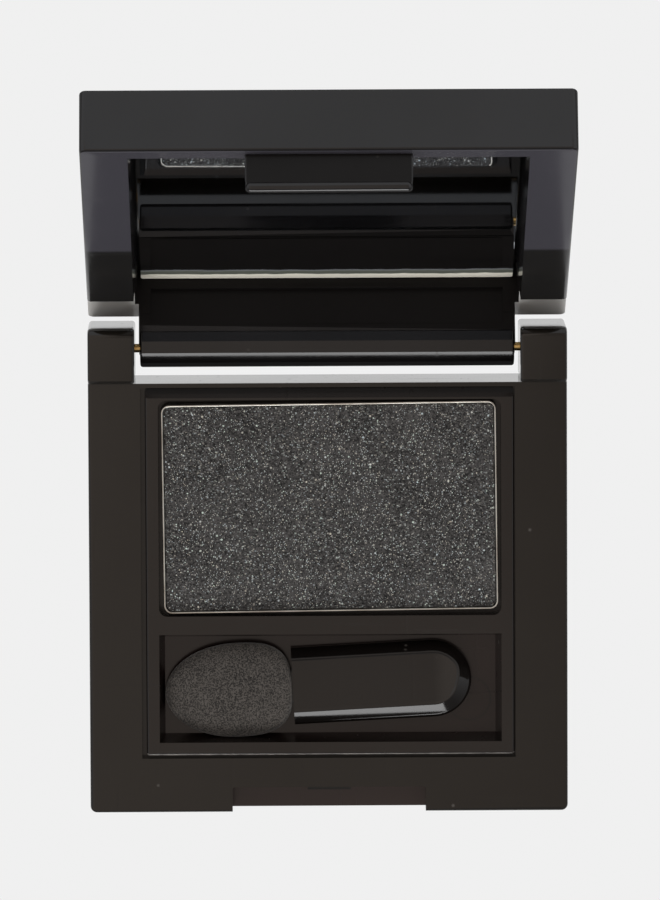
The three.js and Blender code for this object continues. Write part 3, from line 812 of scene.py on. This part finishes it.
# The rims are painted bluish and paler away from the hinge, by a colour placed along their length: a painted
# reflection of the base's edge, which the rims mirror. What causes it on the real lid isn't known, and it
# may be a reflection.
RIM_RISE = 2.95 * MM
REFLECTION_FROM = 17.5 * MM
rim_painted_reflection, make, shader = moulded_plastic(
    "rim_plastic", (0.012, 0.0115, 0.0112, 1), (0.015, 0.0145, 0.0142, 1), 0.12, 0.25,
)
where = make.add("ShaderNodeTexCoord").outputs["Object"]
moved = make.add("ShaderNodeVectorMath", {0: where, 1: HINGE}, operation="SUBTRACT").outputs[0]
along = make.add("ShaderNodeVectorMath", {0: moved, 1: LID_FORWARD}, operation="DOT_PRODUCT")
reflection_share = make.spread(along.outputs["Value"], REFLECTION_FROM - 0.3 * MM, REFLECTION_FROM + 0.3 * MM)
clear = shader.inputs["Base Color"].links[0].from_socket
make.link(make.mix(reflection_share, clear, (0.055, 0.053, 0.064, 1)), shader.inputs["Base Color"])
for finish in (roof_painted_light, panel_painted_shade, rim_painted_reflection):
    lid_shell.data.materials.append(finish)
for face in lid_shell.data.polygons:
    middle = face.center - Vector(HINGE)
    out = middle.dot(Vector(LID_FORWARD))
    rise = middle.dot(Vector(LID_UP))
    # The ear roofs take the painted light, the rims the painted reflection, and the rear panel and latch web
    # the painted shade.
    if face.normal.dot(Vector(LID_UP)) < -0.9 and abs(rise - EAR_ROOF) < LEVEL_SLACK:
        face.material_index = 1
    elif face.normal.dot(Vector(LID_UP)) < -0.9 and abs(rise - RIM_RISE) < LEVEL_SLACK:
        face.material_index = 3
    elif face.normal.dot(Vector(LID_FORWARD)) > 0.9 and out < REAR_PANEL_REACH and rise > REAR_PANEL_LOW:
        face.material_index = 2
    elif face.normal.dot(Vector(LID_FORWARD)) > 0.999 and out > LATCH_OUT and rise < LATCH_RISE:
        face.material_index = 2
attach(lid_shell, "lid")

# ---- Film behind the mirror ----
# Double-sided tape between the glass and the lid. Hidden in use.

tape = frame["nodes"]["mirror_adhesive"]
tape.data.materials.clear()
tape.data.materials.append(glue_material("mirror_tape", (0.5, 0.5, 0.48)))

# ---- Mirror ----
# A cut plate of silvered glass. Its lower edge is ground, and shows as a pale strip with
# a faint greenish line of glass beside it.

mirror = shell_copy("mirror_glass", "mirror_plate", angle=20)
silvered, make, shader = surface_material("silvered_glass", Metallic=1.0)
where = make.add("ShaderNodeTexCoord").outputs["Object"]
moved = make.add("ShaderNodeVectorMath", {0: where, 1: HINGE}, operation="SUBTRACT").outputs[0]
reach = make.add("ShaderNodeVectorMath", {0: moved, 1: LID_FORWARD}, operation="DOT_PRODUCT").outputs["Value"]
GROUND_TO = 2.85 * MM
GREEN_TO = 3.9 * MM
wobble = make.add("ShaderNodeTexNoise", {"Vector": where, "Scale": 500.0, "Detail": 3.0}).outputs[0]
reach = make.math("ADD", reach, make.math("MULTIPLY", make.math("SUBTRACT", wobble, 0.5), 0.0005))
ground = make.spread(reach, GROUND_TO - 0.0001, GROUND_TO + 0.0001, 1.0, 0.0)
green = make.spread(reach, GREEN_TO - 0.0003, GREEN_TO + 0.0002, 1.0, 0.0)
smudge = make.add("ShaderNodeTexNoise", {"Vector": where, "Scale": 130.0, "Detail": 5.0}).outputs[0]
# The silver is darker than real silvering, to match the dark glass of the open lid.
silver = make.mix(make.spread(smudge, 0.45, 0.8), (0.56, 0.59, 0.64, 1), (0.50, 0.53, 0.58, 1))
colour = make.mix(green, silver, (0.10, 0.11, 0.09, 1))
colour = make.mix(ground, colour, (0.95, 0.92, 0.80, 1))
make.link(colour, shader.inputs["Base Color"])
make.link(make.math("SUBTRACT", 1.0, green), shader.inputs["Metallic"])
haze = make.spread(smudge, 0.4, 0.9, 0.012, 0.05)
make.link(make.math("ADD", haze, make.math("MULTIPLY", green, 0.5), True), shader.inputs["Roughness"])
mirror.data.materials.append(silvered)
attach(mirror, "lid")
